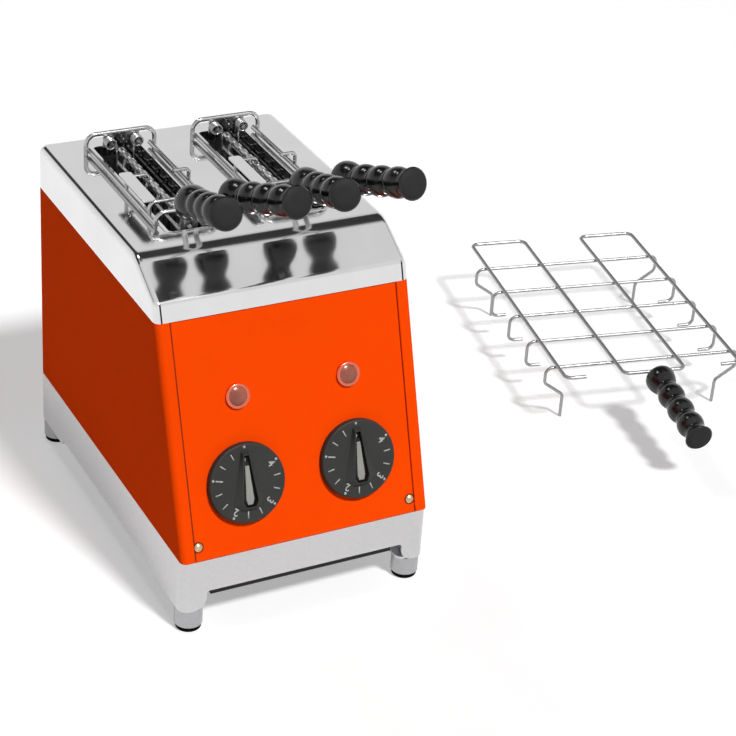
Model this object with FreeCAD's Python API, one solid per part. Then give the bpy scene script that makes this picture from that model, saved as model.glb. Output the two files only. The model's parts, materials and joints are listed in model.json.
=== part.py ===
"""Two-slot clamp toaster with its wire warming rack, in millimetres.

The frame is +Z up, the front faces -Y, +X is to the right of someone who faces the
front, and the origin lies on the table under the middle of the toaster's base.
"""
import math
import os

import FreeCAD
import Part

Vec = FreeCAD.Vector

# Body envelope
body_width = 200.0
body_depth = 300.0
front_setback = 56.6
plinth_bottom = 19.0
plinth_top = 62.0
band_bottom = 229.0
cover_top = 263.0

# Sheet thicknesses and general fits
shell_sheet = 1.2
cover_sheet = 1.2
plinth_sheet = 1.5
pan_sheet = 1.2
chamber_sheet = 1.0
reflector_sheet = 0.8
seat_gap = 0.3
slip_gap = 0.2
bore_fit = 0.05
running_fit = 0.08
weld_gap = 0.02

# Painted shell and panels
shell_front_radius = 5.0
shell_back_radius = 8.0
front_wrap = 10.5
panel_overlap = 3.5
back_return = 20.0
splice_height = 8.0
louvre_rows = 9
louvre_length = 58.0
louvre_height = 3.0
louvre_pitch = 13.0
louvre_gap = 14.0

# Polished top cover
lip_height = 14.0
fold_y = -52.5
lip_radius = 6.0
fold_radius = 26.0
lip_slit = 0.6
slot_x = 44.0
slot_half_width = 19.5
slot_front_y = -28.0
slot_back_inset = 20.0
slot_corner_radius = 5.0
rim_width = 1.5
rim_height = 0.5
rim_depth = 8.0
rim_wall = 1.0

# Plinth cut-outs and feet
front_leg_width = 20.0
front_cut_top = 34.7
leg_corner_radius = 10.0
cut_corner_radius = 3.0
side_cut_top = 24.0
side_leg_length = 54.0
plinth_flange = 10.0
foot_radius = 10.5
foot_pad_height = 3.6
foot_plate = 2.0
foot_plate_size = 20.0
foot_screw_radius = 3.0
foot_nut_radius = 5.5
foot_nut_height = 4.0

# Bottom pan, tray and runners
pan_floor = 37.0
crumb_hole_half = 17.0
tray_half_width = 74.0
tray_front_y = -143.5
tray_length = 250.0
tray_bottom = 26.2
tray_top = 33.4
tray_sheet = 1.0
tray_flange = 4.0
runner_sheet = 1.2
runner_front_inset = 12.0
runner_back_inset = 5.0

# Heating chamber
chamber_front_gap = 3.0
chamber_back_gap = 6.0
chamber_side_gap = 20.0
chamber_top_gap = 4.0
chamber_flange = 9.0
reflector_offset = 31.0
reflector_bottom = 60.0
guard_offset = 16.8
guard_bar_radius = 1.2
guard_wire_radius = 1.0
guard_low = 147.0
guard_high = 253.0
guard_tip = 259.0
guard_wires = 9
heater_offset = 24.0
heater_low = 165.0
heater_pitch = 35.0
heater_rows = 3
tube_radius = 5.0
tube_wall = 1.0
coil_radius = 1.5
cap_radius = 7.0
cap_length = 10.0
cap_floor = 1.0

# Timers, knobs and pilot lamps, measured on the sloping panel
timer_u = 44.7
timer_v = 51.0
timer_body = 46.0
timer_depth = 30.0
timer_bush_radius = 5.0
timer_bush_length = 2.2
timer_nut_radius = 7.5
timer_nut_height = 2.0
shaft_radius = 3.0
shaft_engagement = 14.0
knob_radius = 30.0
knob_skirt = 4.6
knob_edge = 1.2
knob_taper = 0.4
knob_gap = 0.5
knob_recess_radius = 11.0
knob_recess_wall = 1.4
knob_hub_radius = 5.6
grip_height = 3.4
grip_sink = 0.2
grip_tip = 24.4
grip_tip_half = 3.0
grip_heel = 19.4
grip_half_width = 13.5
pocket_tip = 21.5
pocket_tip_half = 1.8
pocket_heel = 17.3
pocket_half_width = 5.7
pocket_depth = 1.9
pocket_rim = 0.9
strip_tip = 13.6
strip_tip_half = 1.4
strip_heel = 15.4
strip_half_width = 3.0
strip_height = 0.4
bore_cover = 0.9
lamp_u = 44.0
lamp_v = 115.0
lens_radius = 6.6
lens_dome = 1.6
bezel_radius = 9.4
bezel_height = 2.4
lamp_body_radius = 6.0
lamp_body_length = 24.0
lamp_nut_radius = 9.0
lamp_nut_height = 3.0
panel_screw_inset = 3.8
panel_screw_v = 10.5
screw_head_radius = 3.2
screw_head_height = 1.8
screw_head_edge = 0.5
screw_slot_width = 0.8
screw_slot_depth = 0.8
screw_shank_radius = 1.6
screw_length = 8.0
bracket_width = 14.0
bracket_height = 18.0
bracket_sheet = 1.5
bracket_edge = 5.0
bracket_foot_gap = 2.0
back_screw_z = (78.0, 212.0)

# Mains connection inside
terminal_size = (40.0, 20.0, 15.0)
terminal_y = -62.0
gland_inset = 38.0
gland_z = 50.0
gland_radius = 7.0
gland_head_radius = 9.5
gland_bore_radius = 3.8
gland_head_length = 10.0
gland_head_rim = 3.0
gland_nut_length = 5.0

# Clamp frame
rail_x = 24.8
rail_height = 3.5
rail_radius = 2.0
rail_front_y = -18.0
arch_inset = 13.0
arch_x = 28.0
arch_height = 16.5
arch_radius = 1.75
arch_bend = 8.0
front_arch_y = -15.0
front_arch_height = 11.0
bridge_y = -4.0
bridge_height = 14.5
bridge_radius = 1.5
bridge_bend = 5.0
hook_y = 41.0
hook_reach = -8.0
short_hook_reach = 12.0
hook_drop = 4.5
hook_bend = 3.0
thumb_width = 9.8
thumb_length = 51.0
thumb_sheet = 1.0
thumb_corner = 2.5
hinge_height = 1.2
hinge_radius = 1.5
hinge_boss_radius = 3.0
hinge_boss_length = 3.0
hinge_back_inset = 10.5
hinge_stick_out = 1.0
back_bar_half = 14.5
back_bar_low = 5.6
back_bar_sheet = 1.5
stop_radius = 5.2
stop_height = 10.2
stop_stud_radius = 2.0
spring_stud_x = 11.0
spring_stud_radius = 1.8
spring_wire = 1.4
spring_radius = 4.0
spring_pitch = 1.9
spring_turns = 3
spring_leg_drop = 18.0
spring_leg_rise = 3.6
button_flare = 1.5
button_height = 7.3

# Clamp jaws
jaw_x = 4.2
jaw_foot_x = 1.9
jaw_front_y = -10.0
jaw_back_inset = 18.0
jaw_top = -7.0
jaw_bottom = -114.0
jaw_toe = 6.0
jaw_wires = 12
jaw_wire_radius = 1.1
jaw_bar_radius = 1.4
jaw_bar_heights = (-42.0, -78.0)
jaw_bar_outset = 1.8
jaw_wire_bend = 3.0
knuckle_radius = 2.7
knuckle_length = 6.0
stem_radius = 2.0
stem_bend = 8.0

# Bobbled handles
handle_length = 91.5
handle_beads = 3
bead_pitch = 20.5
bead_radius = 11.4
neck_radius = 8.5
neck_half_length = 3.5
nose_radius = 12.8
nose_flat = 6.0
nose_peak = 6.5
nose_length = 21.5
handle_cap_radius = 11.8
cap_edge = 1.0
handle_splay = 15.5
handle_start_y = -55.0
handle_start_height = 37.0
handle_end_x = 26.5
handle_end_y = -143.0
handle_end_height = 69.5
stem_depth = 45.0
stem_lead = 6.0

# Warming rack
rack_x = 415.6
rack_y = 102.2
rack_turn = -10.9
rack_top = 52.6
rack_outer = 81.0
rack_inner = 28.3
rack_back = 126.6
rack_hook = 18.0
rack_handle_front = -127.8
rack_wire_radius = 1.6
rack_cross_radius = 1.4
rack_cross_first = 82.0
rack_cross_pitch = -46.1
rack_cross_count = 5
rack_cross_reach = 9.0
rack_leg_x = 72.0
rack_leg_knee = 35.0
rack_leg_ankle = 22.0
rack_j_height = 26.0
rack_j_length = 14.0
rack_bend = 6.0
rack_handle_dip = 5.0
rack_handle_lead = 4.0

half_width = body_width / 2
front_y = -body_depth / 2
back_y = body_depth / 2
front_window_half = half_width - front_wrap
panel_screw_u = front_window_half - panel_screw_inset
front_cut_half = half_width - front_leg_width
side_cut_half = back_y - side_leg_length
slot_back_y = back_y - slot_back_inset
chamber_front_y = slot_front_y - chamber_front_gap
chamber_back_y = slot_back_y + chamber_back_gap
chamber_half_width = half_width - chamber_side_gap
gland_x = gland_inset - half_width
arch_y = slot_back_y - arch_inset
hinge_back_y = slot_back_y - hinge_back_inset
jaw_back_y = slot_back_y - jaw_back_inset
panel_rise = band_bottom - plinth_top
panel_length = math.hypot(front_setback, panel_rise)
panel_sin = front_setback / panel_length
panel_cos = panel_rise / panel_length
panel_back = -shell_sheet
panel_inner = -2 * shell_sheet
knob_low = panel_back + knob_gap
knob_face = knob_low + knob_skirt
pocket_floor = knob_face - grip_sink + grip_height - pocket_depth


def front_at(z):
    """Depth of the sloping front's outer face at a height."""
    return front_y + front_setback * (z - plinth_top) / panel_rise


def box(x0, x1, y0, y1, z0, z1):
    return Part.makeBox(x1 - x0, y1 - y0, z1 - z0, Vec(x0, y0, z0))


def cylinder(radius, start, axis, length):
    return Part.makeCylinder(radius, length, start, axis)


def join(solids):
    """One solid from pieces that are welded or moulded together."""
    return solids[0].multiFuse(solids[1:]).removeSplitter()


def save(node, *solids):
    shape = solids[0] if len(solids) == 1 else Part.makeCompound(list(solids))
    shape.exportStep("parts/" + node + ".step")


def rounded_edges(points, radii, closed):
    """Straight edges joined by tangent arcs, with one radius for each point."""
    count = len(points)
    corners = []
    for i, point in enumerate(points):
        radius = radii[i]
        if radius == 0 or (not closed and i in (0, count - 1)):
            corners.append((point, None, point))
            continue
        before = (points[i - 1] - point).normalize()
        after = (points[(i + 1) % count] - point).normalize()
        half_turn = before.getAngle(after) / 2
        reach = radius / math.tan(half_turn)
        middle = (before + after).normalize() * (radius / math.sin(half_turn) - radius)
        corners.append((point + before * reach, point + middle, point + after * reach))
    edges = []
    for i, (start, middle, end) in enumerate(corners):
        if middle is not None:
            edges.append(Part.Arc(start, middle, end).toShape())
        if i < count - 1 or closed:
            edges.append(Part.makeLine(end, corners[(i + 1) % count][0]))
    return edges


def profile(points, radii):
    return Part.Wire(rounded_edges(points, radii, True))


def prism(points, radii, direction):
    return Part.Face(profile(points, radii)).extrude(direction)


def rounded_block(x0, x1, y0, y1, z0, z1, radius):
    """A block whose four upright edges are rounded."""
    corners = [Vec(x0, y0, z0), Vec(x1, y0, z0), Vec(x1, y1, z0), Vec(x0, y1, z0)]
    return prism(corners, [radius] * 4, Vec(0, 0, z1 - z0))


def rod(points, radius, bend):
    """A round wire bent to tangent arcs at each inner point."""
    edges = rounded_edges(points, [bend] * len(points), False)
    direction = (points[1] - points[0]).normalize()
    section = Part.Wire(Part.makeCircle(radius, points[0], direction))
    return Part.Wire(edges).makePipeShell([section], True, False)


def turned(points, arcs, origin, axis):
    """A turned solid: (along, radius) points joined by lines, or by arcs where given."""
    edges = []
    for i in range(len(points)):
        a, b = points[i], points[(i + 1) % len(points)]
        start, end = Vec(a[1], 0, a[0]), Vec(b[1], 0, b[0])
        if i in arcs:
            middle = Vec(arcs[i][1], 0, arcs[i][0])
            edges.append(Part.Arc(start, middle, end).toShape())
        else:
            edges.append(Part.makeLine(start, end))
    solid = Part.Face(Part.Wire(edges)).revolve(Vec(0, 0, 0), Vec(0, 0, 1), 360)
    turn = FreeCAD.Rotation(Vec(0, 0, 1), axis)
    solid.Placement = FreeCAD.Placement(origin, turn)
    return solid


def dome_middle(rim, radius, top):
    """A point halfway along a dome's arc that is centred on the turning axis."""
    height = top - rim
    ball = (radius ** 2 + height ** 2) / (2 * height)
    half = math.asin(radius / ball) / 2
    if height > radius:
        half = (math.pi - math.asin(radius / ball)) / 2
    return (top - ball + ball * math.cos(half), ball * math.sin(half))


def on_panel(shape):
    """Move a shape drawn in panel axes (u right, v up the slope, n outward) into place."""
    matrix = FreeCAD.Matrix()
    matrix.A11, matrix.A22, matrix.A23 = 1, panel_sin, -panel_cos
    matrix.A32, matrix.A33 = panel_cos, panel_sin
    matrix.A24, matrix.A34 = front_y, plinth_top
    moved = shape.copy()
    moved.Placement = FreeCAD.Placement(matrix).multiply(moved.Placement)
    return moved


def inset(points, distance):
    """A convex outline in the YZ plane with every side moved inward."""
    count = len(points)
    centre = Vec(0, sum(p.y for p in points) / count, sum(p.z for p in points) / count)
    lines = []
    for i in range(count):
        a, b = points[i], points[(i + 1) % count]
        along = (b - a).normalize()
        inward = Vec(0, -along.z, along.y)
        if inward.dot(centre - a) < 0:
            inward = inward * -1
        lines.append((a + inward * distance, along))
    result = []
    for i in range(count):
        p, d = lines[i - 1]
        q, e = lines[i]
        cross = d.y * e.z - d.z * e.y
        step = ((q.y - p.y) * e.z - (q.z - p.z) * e.y) / cross
        result.append(p + d * step)
    return result


def upright_edges(shape, y_near):
    """The long edges that rise at the outer sides, near a given depth."""
    picked = []
    for edge in shape.Edges:
        a, b = edge.Vertexes[0].Point, edge.Vertexes[-1].Point
        tall = abs(a.z - b.z) > max(10, 0.5 * (b - a).Length)
        outer = abs(abs(a.x) - abs(b.x)) < 0.01
        if tall and outer and y_near(a) and y_near(b):
            picked.append(edge)
    return picked


# Top cover

def cover_outline(bottom):
    return [
        Vec(0, front_at(bottom), bottom),
        Vec(0, front_at(band_bottom + lip_height), band_bottom + lip_height),
        Vec(0, fold_y, cover_top),
        Vec(0, back_y, cover_top),
        Vec(0, back_y, bottom),
    ]


def cover_block(bottom, wall):
    points = inset(cover_outline(bottom), wall) if wall else cover_outline(bottom)
    width = body_width - 2 * wall
    radii = [0, lip_radius - wall, fold_radius - wall, 0, 0]
    points = [p + Vec(-width / 2, 0, 0) for p in points]
    solid = prism(points, radii, Vec(width, 0, 0))
    limit = back_y - wall - 0.5
    corners = upright_edges(solid, lambda p: p.y > limit)
    solid = solid.makeFillet(shell_back_radius - wall, corners)
    top = cover_top - wall
    rim = [
        edge for edge in solid.Edges
        if all(abs(v.Z - top) < 0.01 for v in edge.Vertexes)
        and abs(abs(edge.CenterOfMass.x) - width / 2) < 0.01
    ]
    return solid.makeFillet(shell_front_radius - wall, rim)


def slot_block(centre, margin, z0, z1):
    radius = slot_corner_radius + margin
    return rounded_block(
        centre - slot_half_width - margin,
        centre + slot_half_width + margin,
        slot_front_y - margin,
        slot_back_y + margin,
        z0,
        z1,
        radius,
    )


def make_cover():
    cover = cover_block(band_bottom, 0).cut(cover_block(band_bottom - 10, cover_sheet))
    for side in (-1, 1):
        cover = cover.cut(slot_block(side * slot_x, 0, cover_top - 5, cover_top + 5))
        seam = side * (half_width - shell_front_radius)
        slit = box(seam - lip_slit / 2, seam + lip_slit / 2, front_y, fold_y - 20,
                   band_bottom - 5, band_bottom + lip_height)
        cover = cover.cut(slit)
    save("top_cover", cover)
    rims = []
    for side in (-1, 1):
        centre = side * slot_x
        collar = slot_block(centre, -slip_gap, cover_top - rim_depth, cover_top + rim_height)
        flange = slot_block(centre, rim_width, cover_top, cover_top + rim_height)
        bore = slot_block(centre, -slip_gap - rim_wall, cover_top - 20, cover_top + 20)
        rims.append(join([collar, flange]).cut(bore))
    save("slot_rims", *rims)


# Painted shells and panels

def shell_block(low, high, wall):
    points = [
        Vec(0, front_at(low), low),
        Vec(0, front_at(high), high),
        Vec(0, back_y, high),
        Vec(0, back_y, low),
    ]
    if wall:
        points = inset(points, wall)
    width = body_width - 2 * wall
    points = [p + Vec(-width / 2, 0, 0) for p in points]
    solid = prism(points, [0] * 4, Vec(width, 0, 0))
    front_edges = upright_edges(solid, lambda p: p.y < 0)
    solid = solid.makeFillet(shell_front_radius - wall, front_edges)
    back_edges = upright_edges(solid, lambda p: p.y > back_y - wall - 0.5)
    return solid.makeFillet(shell_back_radius - wall, back_edges)


def panel_plate(half, v0, v1, n0, n1):
    return on_panel(box(-half, half, v0, v1, n0, n1))


def panel_hole(u, v, radius):
    return on_panel(cylinder(radius, Vec(u, v, -10), Vec(0, 0, 1), 20))


def shell_ring(low, high, wall, front_half, back_half):
    """A ring of sheet between two heights, open at the front and at the back."""
    ring = shell_block(low, high, wall)
    ring = ring.cut(shell_block(low - 20, high + 20, wall + shell_sheet))
    ring = ring.cut(panel_plate(front_half, -30, panel_length + 30, -10, 10))
    return ring.cut(box(-back_half, back_half, back_y - 10, back_y + 10, 0, cover_top))


def make_shells():
    back_half = half_width - back_return
    block = shell_ring(plinth_top, band_bottom, 0, front_window_half, back_half)
    splice = shell_ring(
        band_bottom - splice_height,
        band_bottom + splice_height,
        shell_sheet,
        front_window_half + panel_overlap + seat_gap,
        half_width - shell_back_radius + seat_gap,
    )
    block = block.fuse(splice)
    for x, z in back_screw_places():
        block = block.cut(screw_hole(x, z))
    left, right = sorted(block.Solids, key=lambda s: s.CenterOfMass.x)
    save("left_side_shell", left)
    save("right_side_shell", right)


def back_screw_places():
    x = half_width - (back_return + shell_back_radius) / 2
    return [(side * x, z) for side in (-1, 1) for z in back_screw_z]


def screw_hole(x, z):
    radius = screw_shank_radius + running_fit
    return cylinder(radius, Vec(x, back_y + 5, z), Vec(0, -1, 0), 20)


def make_front_panel():
    half = front_window_half + panel_overlap
    top = panel_length + splice_height
    plate = panel_plate(half, -5, top, panel_inner, panel_back)
    plate = plate.cut(box(-half, half, front_y - 20, back_y, plinth_top - 20, plinth_top))
    for side in (-1, 1):
        plate = plate.cut(panel_hole(side * timer_u, timer_v, timer_bush_radius + bore_fit))
        plate = plate.cut(panel_hole(side * lamp_u, lamp_v, lamp_body_radius + bore_fit))
        hole = screw_shank_radius + running_fit
        plate = plate.cut(panel_hole(side * panel_screw_u, panel_screw_v, hole))
    save("front_panel", plate)


def make_back_panel():
    half = half_width - shell_back_radius
    face = back_y - shell_sheet
    low, high = plinth_top, band_bottom + splice_height
    plate = box(-half, half, face - shell_sheet, face, low, high)
    first = (plinth_top + band_bottom) / 2 - louvre_pitch * (louvre_rows - 1) / 2
    for side in (-1, 1):
        for row in range(louvre_rows):
            z = first + row * louvre_pitch
            x = side * (louvre_length + louvre_gap) / 2
            slit = rounded_louvre(x, face, z)
            plate = plate.cut(slit)
    for x, z in back_screw_places():
        plate = plate.cut(screw_hole(x, z))
    save("back_panel", plate)
    screws = [screw(Vec(x, back_y, z), Vec(0, 1, 0)) for x, z in back_screw_places()]
    save("back_screws", *screws)


def rounded_louvre(x, face, z):
    half, tall = louvre_length / 2, louvre_height / 2
    corners = [Vec(x - half, face + 5, z - tall), Vec(x + half, face + 5, z - tall)]
    corners += [Vec(x + half, face + 5, z + tall), Vec(x - half, face + 5, z + tall)]
    return prism(corners, [tall * 0.9] * 4, Vec(0, -10, 0))


def screw(seat, outward):
    """A round-headed slotted screw whose head sits on a face."""
    head = turned(
        [(0, 0), (0, screw_head_radius), (screw_head_edge, screw_head_radius),
         (screw_head_height, 0)],
        {2: dome_middle(screw_head_edge, screw_head_radius, screw_head_height)},
        seat,
        outward,
    )
    shank = cylinder(screw_shank_radius, seat - outward * screw_length, outward, screw_length)
    half = screw_slot_width / 2
    slot = box(-screw_head_radius, screw_head_radius, -half, half,
               screw_head_height - screw_slot_depth, screw_head_height + 1)
    slot.Placement = FreeCAD.Placement(seat, FreeCAD.Rotation(Vec(0, 0, 1), outward))
    return join([head, shank]).cut(slot)


def make_panel_fixings():
    outward = Vec(0, 0, 1)
    screws = []
    brackets = []
    for side in (-1, 1):
        seat = Vec(side * panel_screw_u, panel_screw_v, panel_back)
        screws.append(on_panel(screw(seat, outward)))
        brackets.append(panel_bracket(side))
    save("panel_screws", *screws)
    save("panel_brackets", *brackets)


def panel_bracket(side):
    """An angle that stands on the plinth flange and takes one panel screw."""
    centre = side * (panel_screw_u - bracket_width / 2 + bracket_edge)
    x0, x1 = centre - bracket_width / 2, centre + bracket_width / 2
    tab = on_panel(box(x0, x1, -2, bracket_height, panel_inner - bracket_sheet, panel_inner))
    floor = plinth_top
    tab = tab.cut(box(-half_width, half_width, front_y - 20, front_y + 60, 0, floor))
    start = front_y + plinth_sheet + bracket_foot_gap
    base = box(x0, x1, start, start + bracket_width, floor, floor + bracket_sheet)
    base = base.cut(panel_plate(half_width, -20, 60, panel_inner, 30))
    hole = panel_hole(side * panel_screw_u, panel_screw_v, screw_shank_radius + bore_fit)
    return join([tab, base]).cut(hole)


# Plinth, pan and feet

def plinth_ring(z0, z1, margin, radius):
    return rounded_block(
        -half_width + margin,
        half_width - margin,
        front_y + margin,
        back_y - margin,
        z0,
        z1,
        radius,
    )


def cut_outline(half, top, bottom_radius, top_radius):
    """The opening between two legs: small radii above, wide ones where the legs end."""
    low = plinth_bottom
    flare = half + bottom_radius
    points = [
        (-flare - 5, low - 5), (-flare - 5, low), (-half, low), (-half, top),
        (half, top), (half, low), (flare + 5, low), (flare + 5, low - 5),
    ]
    radii = [0, 0, bottom_radius, top_radius, top_radius, bottom_radius, 0, 0]
    return points, radii


def make_plinth():
    outer = plinth_ring(plinth_bottom, plinth_top, 0, shell_back_radius)
    inner_radius = shell_back_radius - plinth_sheet
    hollow = plinth_ring(0, plinth_top - plinth_sheet, plinth_sheet, inner_radius)
    mouth = plinth_ring(0, plinth_top + 5, plinth_flange, inner_radius)
    plinth = outer.cut(hollow).cut(mouth)
    points, radii = cut_outline(
        front_cut_half, front_cut_top, leg_corner_radius, cut_corner_radius
    )
    wall = [Vec(u, front_y - 5, z) for u, z in points]
    plinth = plinth.cut(prism(wall, radii, Vec(0, body_depth + 10, 0)))
    side_radius = side_cut_top - plinth_bottom - 1
    points, radii = cut_outline(side_cut_half, side_cut_top, side_radius, 0)
    wall = [Vec(-half_width - 5, u, z) for u, z in points]
    plinth = plinth.cut(prism(wall, radii, Vec(body_width + 10, 0, 0)))
    plinth = plinth.cut(gland_hole())
    save("plinth", plinth)


def gland_hole():
    return cylinder(gland_radius + bore_fit, Vec(gland_x, back_y + 5, gland_z), Vec(0, -1, 0), 15)


def make_pan():
    gap = plinth_sheet + slip_gap
    top = plinth_top - plinth_sheet
    outer = plinth_ring(pan_floor, top, gap, shell_back_radius - gap)
    wall = gap + pan_sheet
    inner = plinth_ring(pan_floor + pan_sheet, top + 5, wall, shell_back_radius - wall)
    pan = outer.cut(inner)
    for side in (-1, 1):
        hole = rounded_block(
            side * slot_x - crumb_hole_half,
            side * slot_x + crumb_hole_half,
            slot_front_y,
            slot_back_y,
            pan_floor - 5,
            pan_floor + 5,
            4,
        )
        pan = pan.cut(hole)
    pan = pan.cut(gland_hole())
    save("bottom_pan", pan)


def foot_places():
    x = half_width - foot_radius
    y = back_y - foot_radius
    return [(sx * x, sy * y) for sx in (-1, 1) for sy in (-1, 1)]


def make_feet():
    plates = []
    sleeves = []
    pads = []
    screws = []
    up = Vec(0, 0, 1)
    reach = foot_plate_size
    edge_x = half_width - plinth_sheet - slip_gap
    edge_y = back_y - plinth_sheet - slip_gap
    corner = shell_back_radius - plinth_sheet
    for x, y in foot_places():
        sx, sy = math.copysign(1, x), math.copysign(1, y)
        xs = sorted((sx * edge_x, sx * (edge_x - reach)))
        ys = sorted((sy * edge_y, sy * (edge_y - reach)))
        low = plinth_bottom
        plate = rounded_block(xs[0], xs[1], ys[0], ys[1], low, low + foot_plate, corner)
        hole = cylinder(foot_screw_radius + bore_fit, Vec(x, y, -5), up, low + 20)
        plates.append(plate.cut(hole))
        sleeves.append(foot_sleeve(x, y).cut(hole))
        pads.append(foot_pad(x, y))
        screws.append(foot_screw(x, y))
    save("foot_plates", *plates)
    save("foot_sleeves", *sleeves)
    save("foot_pads", *pads)
    save("foot_screws", *screws)


def foot_sleeve(x, y):
    low, high = foot_pad_height, plinth_bottom
    points = [(0, 0), (0, foot_radius - 0.8), (0.8, foot_radius), (high - low, foot_radius)]
    points.append((high - low, 0))
    return turned(points, {}, Vec(x, y, low), Vec(0, 0, 1))


def foot_pad(x, y):
    radius = foot_radius - 0.9
    points = [(0, 0), (0, radius - 1.2), (1.2, radius), (foot_pad_height, radius)]
    points.append((foot_pad_height, 0))
    return turned(points, {1: (0.35, radius - 0.35)}, Vec(x, y, 0), Vec(0, 0, 1))


def foot_screw(x, y):
    low = foot_pad_height
    nut_low = plinth_bottom + foot_plate
    points = [
        (low, 0), (low, foot_screw_radius), (nut_low, foot_screw_radius),
        (nut_low, foot_nut_radius), (nut_low + foot_nut_height, foot_nut_radius),
        (nut_low + foot_nut_height, 0),
    ]
    return turned(points, {}, Vec(x, y, 0), Vec(0, 0, 1))


# Crumb tray and its runners

def make_tray():
    front = tray_front_y
    back = front + tray_length
    half = tray_half_width
    outer = box(-half, half, front, back, tray_bottom, tray_top)
    sheet = tray_sheet
    inner = box(-half + sheet, half - sheet, front + sheet, back - sheet,
                tray_bottom + sheet, tray_top + 5)
    flange = box(-half - tray_flange, half + tray_flange, front, back,
                 tray_top - sheet, tray_top)
    save("crumb_tray", join([outer, flange]).cut(inner))


def make_runners():
    """Angles under the pan whose ledges carry the tray's side flanges."""
    ledge_top = tray_top - tray_sheet - seat_gap
    web_x = tray_half_width + tray_flange + slip_gap
    start = tray_front_y + runner_front_inset
    end = tray_front_y + tray_length - runner_back_inset
    runners = []
    for side in (-1, 1):
        web = sorted((side * web_x, side * (web_x + runner_sheet)))
        ledge = sorted((side * (tray_half_width + seat_gap), side * (web_x + runner_sheet)))
        low = ledge_top - runner_sheet
        runners.append(join([
            box(web[0], web[1], start, end, low, pan_floor),
            box(ledge[0], ledge[1], start, end, low, ledge_top),
        ]))
    save("tray_runners", *runners)


# Heating chamber

def heater_places():
    places = []
    for slot_side in (-1, 1):
        for wall_side in (-1, 1):
            x = slot_side * slot_x + wall_side * heater_offset
            places += [(x, heater_low + row * heater_pitch) for row in range(heater_rows)]
    return places


def chamber_plate(y, outward):
    floor = pan_floor + pan_sheet
    top = cover_top - cover_sheet - chamber_top_gap
    half = chamber_half_width
    ys = sorted((y, y + outward * chamber_sheet))
    plate = box(-half, half, ys[0], ys[1], floor, top)
    ys = sorted((y, y + outward * chamber_flange))
    flange = box(-half, half, ys[0], ys[1], floor, floor + chamber_sheet)
    plate = join([plate, flange])
    for x, z in heater_places():
        hole = cylinder(tube_radius + 2 * bore_fit, Vec(x, y - 20, z), Vec(0, 1, 0), 40)
        plate = plate.cut(hole)
    return plate


def make_chamber():
    save("chamber_front_plate", chamber_plate(chamber_front_y, -1))
    save("chamber_back_plate", chamber_plate(chamber_back_y, 1))
    top = cover_top - cover_sheet - chamber_top_gap
    sheets = []
    for slot_side in (-1, 1):
        for wall_side in (-1, 1):
            x = slot_side * slot_x + wall_side * reflector_offset
            thick = reflector_sheet / 2
            sheets.append(box(x - thick, x + thick, chamber_front_y, chamber_back_y,
                              reflector_bottom, top))
    save("reflectors", *sheets)


def slot_guard(x):
    along = Vec(0, 1, 0)
    length = chamber_back_y - chamber_front_y
    bars = [
        cylinder(guard_bar_radius, Vec(x, chamber_front_y, z), along, length)
        for z in (guard_low, guard_high)
    ]
    step = length / (guard_wires + 1)
    for i in range(guard_wires):
        foot = Vec(x, chamber_front_y + (i + 1) * step, guard_low)
        bars.append(cylinder(guard_wire_radius, foot, Vec(0, 0, 1), guard_tip - guard_low))
    return join(bars)


def make_guards():
    for name, side in (("left", -1), ("right", 1)):
        pair = [slot_guard(side * slot_x + wall * guard_offset) for wall in (-1, 1)]
        save(name + "_slot_guards", *pair)


def heater_cap(x, z, y, outward):
    """A ceramic end cap outside a chamber plate, holding one tube end."""
    axis = Vec(0, outward, 0)
    start = Vec(x, y, z)
    body = cylinder(cap_radius, start, axis, cap_length)
    depth = cap_length - cap_floor
    return body.cut(cylinder(tube_radius + bore_fit, start, axis, depth))


def make_heaters():
    tubes = []
    coils = []
    caps = []
    along = Vec(0, 1, 0)
    front = chamber_front_y - chamber_sheet
    back = chamber_back_y + chamber_sheet
    depth = cap_length - cap_floor
    for x, z in heater_places():
        start = Vec(x, front - depth + seat_gap, z)
        length = back - front + 2 * (depth - seat_gap)
        tube = cylinder(tube_radius, start, along, length)
        tubes.append(tube.cut(cylinder(tube_radius - tube_wall, start, along, length)))
        coils.append(cylinder(coil_radius, Vec(x, front - depth, z), along,
                              back - front + 2 * depth))
        caps.append(heater_cap(x, z, front, -1))
        caps.append(heater_cap(x, z, back, 1))
    save("heater_tubes", *tubes)
    save("heater_coils", *coils)
    save("heater_caps", *caps)


# Timers and lamps

def timer_housing(u):
    half = timer_body / 2
    top = panel_inner
    case = box(u - half, u + half, timer_v - half, timer_v + half, top - timer_depth, top)
    bush = cylinder(timer_bush_radius, Vec(u, timer_v, top), Vec(0, 0, 1),
                    -panel_inner + panel_back + timer_bush_length)
    bore = cylinder(shaft_radius + running_fit, Vec(u, timer_v, top - shaft_engagement),
                    Vec(0, 0, 1), 60)
    return on_panel(join([case, bush]).cut(bore))


def timer_nut(u):
    points = [
        (0, timer_bush_radius + bore_fit), (0, timer_nut_radius),
        (timer_nut_height, timer_nut_radius), (timer_nut_height, timer_bush_radius + bore_fit),
    ]
    return on_panel(turned(points, {}, Vec(u, timer_v, panel_back), Vec(0, 0, 1)))


def make_timers():
    save("timer_housings", *[timer_housing(side * timer_u) for side in (-1, 1)])
    save("timer_nuts", *[timer_nut(side * timer_u) for side in (-1, 1)])


def pointer_outline(tip, tip_half, heel, half, n):
    """A tapered outline that points up the panel, at a height on the knob."""
    points = [
        (-tip_half, tip), (tip_half, tip), (half, -0.75 * heel), (0.6 * half, -heel),
        (-0.6 * half, -heel), (-half, -0.75 * heel),
    ]
    return [Vec(u, v, n) for u, v in points]


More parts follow.
